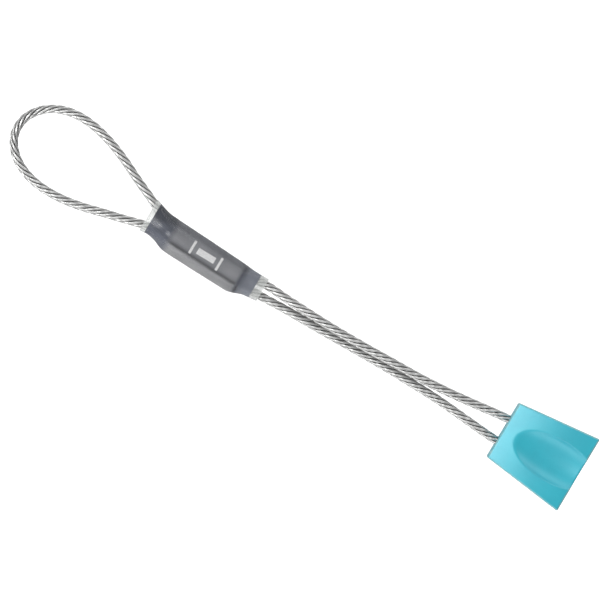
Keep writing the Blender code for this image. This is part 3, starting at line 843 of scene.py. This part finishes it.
def clear_material():
    """Clear shrunk tube: glossy and see-through over the film, and milky past the film's ends."""
    n = Nodes("clear_heat_shrink")
    normal = n.bump(n.noise(300.0, 2.0), 0.03)
    rough = n.spread(n.noise(800.0, 3.0), 0.3, 0.7, 0.13, 0.20)
    n.feed(normal, "Normal")
    n.feed(rough, "Roughness")
    n.feed(n.mix(n.noise(300.0), (0.86, 0.89, 0.87), (0.95, 0.97, 0.95)), "Base Color")
    fresnel = n.add("ShaderNodeFresnel")
    fresnel.inputs["IOR"].default_value = 1.45
    clear = n.add("ShaderNodeBsdfTransparent")
    clear.inputs["Color"].default_value = (0.97, 0.97, 0.97, 1.0)
    gloss = n.add("ShaderNodeBsdfGlossy")
    n.join(rough, gloss.inputs["Roughness"])
    n.join(normal, gloss.inputs["Normal"])
    n.join(normal, fresnel.inputs["Normal"])
    shiny = n.add("ShaderNodeMixShader")
    n.join(n.spread(fresnel.outputs["Fac"], 0.03, 0.6, 0.009, 0.12), shiny.inputs[0])
    n.join(clear.outputs[0], shiny.inputs[1])
    n.join(gloss.outputs[0], shiny.inputs[2])

    film_middle = sum(FILM_ENDS_X) / 2 * MM
    from_middle = n.maths('ABSOLUTE', n.maths('SUBTRACT', n.position()[0], film_middle), 0.0)
    film_end = (FILM_ENDS_X[1] - FILM_ENDS_X[0]) / 2 * MM
    soft = MILK_SOFTNESS * MM
    milkiness = n.spread(from_middle, film_end - soft, film_end + soft, *MILKINESS)
    milky = n.add("ShaderNodeMixShader")
    n.join(milkiness, milky.inputs[0])
    n.join(shiny.outputs[0], milky.inputs[1])
    n.join(n.shader.outputs[0], milky.inputs[2])
    n.join(milky.outputs[0], n.output.inputs["Surface"])
    return n.material


# ---------------------------------------------------------------- floor, lights and camera

VIEW_TURN = math.radians(31.0)  # how far the camera is turned round the vertical
VIEW_CENTRE = (1.45, 0.065, 8.0)
VIEW_WIDTH = 210.0
LENS = 400.0
SENSOR = 36.0
VIEW_REACH = 50.0  # metres
FLOOR_HEIGHT = -100.0
FLOOR_HALF_SIZE = 6.0  # metres
FLOOR_GLOW = 0.75  # that the camera sees, which lifts the floor to white
# The room's strength by the sine of the height over the horizon
WORLD_LEVELS = [(0.0, 0.45), (0.12, 0.35), (0.4, 0.4), (0.6, 0.65), (0.85, 0.6), (1.0, 0.5)]
WORLD_BRIGHT_SIDE = (-0.95, -0.3, -0.1)  # in the picture: right, up, towards the camera
# The room's colour, from the side that faces away from there to the side there
WORLD_SIDES = [(0.0, (0.50, 0.505, 0.51)), (0.5, (0.66, 0.665, 0.67)), (1.0, (1.0, 1.0, 1.0))]
# The lights: right, up and towards the camera in metres, size in metres, and power in watts
LIGHTS = {
    "head_box": ((-0.6, 0.25, 0.85), (0.4, 0.6), 5.6),
    "near_box": ((-0.5, -0.9, 0.5), (2.0, 0.7), 5.4),
    "far_box": ((0.5, 0.9, 0.5), (2.0, 0.7), 5.5),
}


def image_place(right, up, height):
    """Turns a place or direction in the picture, to the right, up and towards the camera, into
    the scene's X, Y and Z."""
    c, s = math.cos(VIEW_TURN), math.sin(VIEW_TURN)
    return (right * c - up * s, right * s + up * c, height)


def add_camera():
    data = bpy.data.cameras.new("camera")
    data.lens = LENS
    data.sensor_width = SENSOR
    camera = bpy.data.objects.new("camera", data)
    bpy.context.scene.collection.objects.link(camera)
    distance = LENS / SENSOR * VIEW_WIDTH
    camera.location = (VIEW_CENTRE[0] * MM, VIEW_CENTRE[1] * MM, (VIEW_CENTRE[2] + distance) * MM)
    camera.rotation_euler = (0.0, 0.0, VIEW_TURN)
    data.clip_end = VIEW_REACH
    bpy.context.scene.camera = camera


def add_area_light(name, place, size, power):
    """A soft box that faces the origin."""
    data = bpy.data.lights.new(name, 'AREA')
    data.shape = 'RECTANGLE'
    data.size, data.size_y = size
    data.energy = power
    light = bpy.data.objects.new(name, data)
    bpy.context.scene.collection.objects.link(light)
    light.location = place
    light.rotation_euler = Vector(place).to_track_quat('Z', 'Y').to_euler()


def add_floor():
    """A plain pale floor, low enough for the poses that bend down."""
    half = FLOOR_HALF_SIZE
    mesh = bpy.data.meshes.new("floor")
    mesh.from_pydata([(-half, -half, 0), (half, -half, 0), (half, half, 0), (-half, half, 0)],
                     [], [(0, 1, 2, 3)])
    n = Nodes("pale_floor")
    n.feed(n.mix(n.noise(3.0, 2.0), (0.54, 0.54, 0.54), (0.56, 0.56, 0.56)), "Base Color")
    n.set(Roughness=0.9)
    n.shader.inputs["Emission Color"].default_value = (1.0, 1.0, 1.0, 1.0)
    path = n.add("ShaderNodeLightPath")
    n.feed(n.spread(path.outputs["Is Camera Ray"], 0.0, 1.0, 0.0, FLOOR_GLOW), "Emission Strength")
    floor = add_object("floor", mesh, n.material)
    floor.location = (0.0, 0.0, FLOOR_HEIGHT * MM)


def fill_ramp(ramp, stops):
    """Gives a colour ramp its stops, each a position and a colour."""
    elements = ramp.color_ramp.elements
    elements[0].position, elements[0].color = stops[0][0], (*stops[0][1], 1.0)
    elements[1].position, elements[1].color = stops[-1][0], (*stops[-1][1], 1.0)
    for position, colour in stops[1:-1]:
        elements.new(position).color = (*colour, 1.0)


def add_world():
    """A soft room, brighter to the picture's left than to its right, and dimmer overhead than
    around the lights."""
    world = bpy.data.worlds.new("studio")
    bpy.context.scene.world = world
    world.use_nodes = True
    tree = world.node_tree
    background = tree.nodes["Background"]
    place = tree.nodes.new("ShaderNodeTexCoord")

    towards = tree.nodes.new("ShaderNodeVectorMath")
    towards.operation = 'DOT_PRODUCT'
    towards.inputs[1].default_value = image_place(*WORLD_BRIGHT_SIDE)
    half = tree.nodes.new("ShaderNodeMapRange")
    half.inputs["From Min"].default_value = -1.0
    sides = tree.nodes.new("ShaderNodeValToRGB")
    fill_ramp(sides, WORLD_SIDES)
    tree.links.new(place.outputs["Generated"], towards.inputs[0])
    tree.links.new(towards.outputs["Value"], half.inputs["Value"])
    tree.links.new(half.outputs["Result"], sides.inputs["Fac"])
    tree.links.new(sides.outputs["Color"], background.inputs["Color"])

    parts = tree.nodes.new("ShaderNodeSeparateXYZ")
    heights = tree.nodes.new("ShaderNodeValToRGB")
    heights.color_ramp.interpolation = 'EASE'
    fill_ramp(heights, [(position, (level, level, level)) for position, level in WORLD_LEVELS])
    tree.links.new(place.outputs["Generated"], parts.inputs["Vector"])
    tree.links.new(parts.outputs["Z"], heights.inputs["Fac"])
    tree.links.new(heights.outputs["Color"], background.inputs["Strength"])


def add_studio():
    add_floor()
    add_world()
    for name, (place, size, power) in LIGHTS.items():
        add_area_light(name, image_place(*place), size, power)
    bpy.context.scene.view_settings.view_transform = 'Standard'


# ---------------------------------------------------------------- the whole scene

make_wire_pieces(wire_material())
make_head(head_material())
make_ferrule(ferrule_material())
make_sleeves(film_material(), clear_material())
add_studio()
add_camera()
